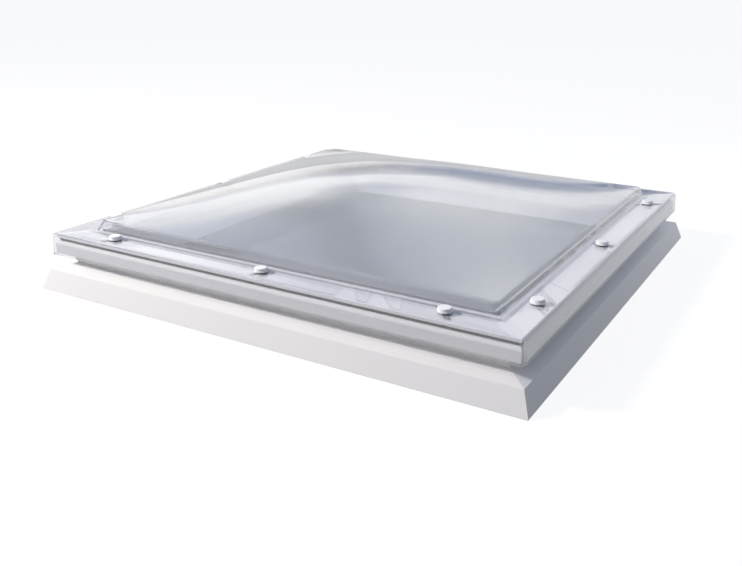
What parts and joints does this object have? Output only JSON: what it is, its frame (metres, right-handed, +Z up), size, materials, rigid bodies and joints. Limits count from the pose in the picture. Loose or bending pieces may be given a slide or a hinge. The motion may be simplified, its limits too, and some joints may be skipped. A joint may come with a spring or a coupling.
{
  "type": "roof skylight",
  "caption": "Fixed square dome rooflight: clear double-skin dome with a stepped rim and skirt, screwed through white caps to a welded white frame on a splayed kerb.",
  "frame": {"origin": "middle of the plan, on the plane that the foot of the kerb stands on", "axes": "+X along the front side, +Y to the back, +Z up out of the roof"},
  "size_m": [1.0434, 1.0434, 0.197],
  "materials": {
    "outer_skin": "clear polycarbonate, thermoformed, polished",
    "inner_skin": "clear polycarbonate, thermoformed, polished",
    "white_frame": "satin white uPVC extrusion",
    "cap_white": "moulded white nylon",
    "black_gasket": "matte EPDM",
    "sealing_tape": "pale grey butyl tape",
    "seal_foam": "compressed closed-cell foam",
    "zinc_steel": "bright zinc plated steel"
  },
  "bodies": {
    "root": {"cap_base_01": "cap_white", "cap_base_02": "cap_white", "cap_base_03": "cap_white", "cap_base_04": "cap_white", "cap_base_05": "cap_white", "cap_base_06": "cap_white", "cap_base_07": "cap_white", "cap_base_08": "cap_white", "cap_base_09": "cap_white", "cap_base_10": "cap_white", "cap_base_11": "cap_white", "cap_base_12": "cap_white", "cap_lid_01": "cap_white", "cap_lid_02": "cap_white", "cap_lid_03": "cap_white", "cap_lid_04": "cap_white", "cap_lid_05": "cap_white", "cap_lid_06": "cap_white", "cap_lid_07": "cap_white", "cap_lid_08": "cap_white", "cap_lid_09": "cap_white", "cap_lid_10": "cap_white", "cap_lid_11": "cap_white", "cap_lid_12": "cap_white", "clamp_screws": "zinc_steel", "fixing_screws": "zinc_steel", "frame_gasket": "black_gasket", "glazing_frame": "white_frame", "inner_dome": "inner_skin", "inner_tape": "sealing_tape", "kerb": "white_frame", "kerb_seal": "seal_foam", "lower_frame": "white_frame", "outer_dome": "outer_skin", "outer_tape": "sealing_tape", "sealing_washers": "black_gasket"}
  },
  "joints": []
}
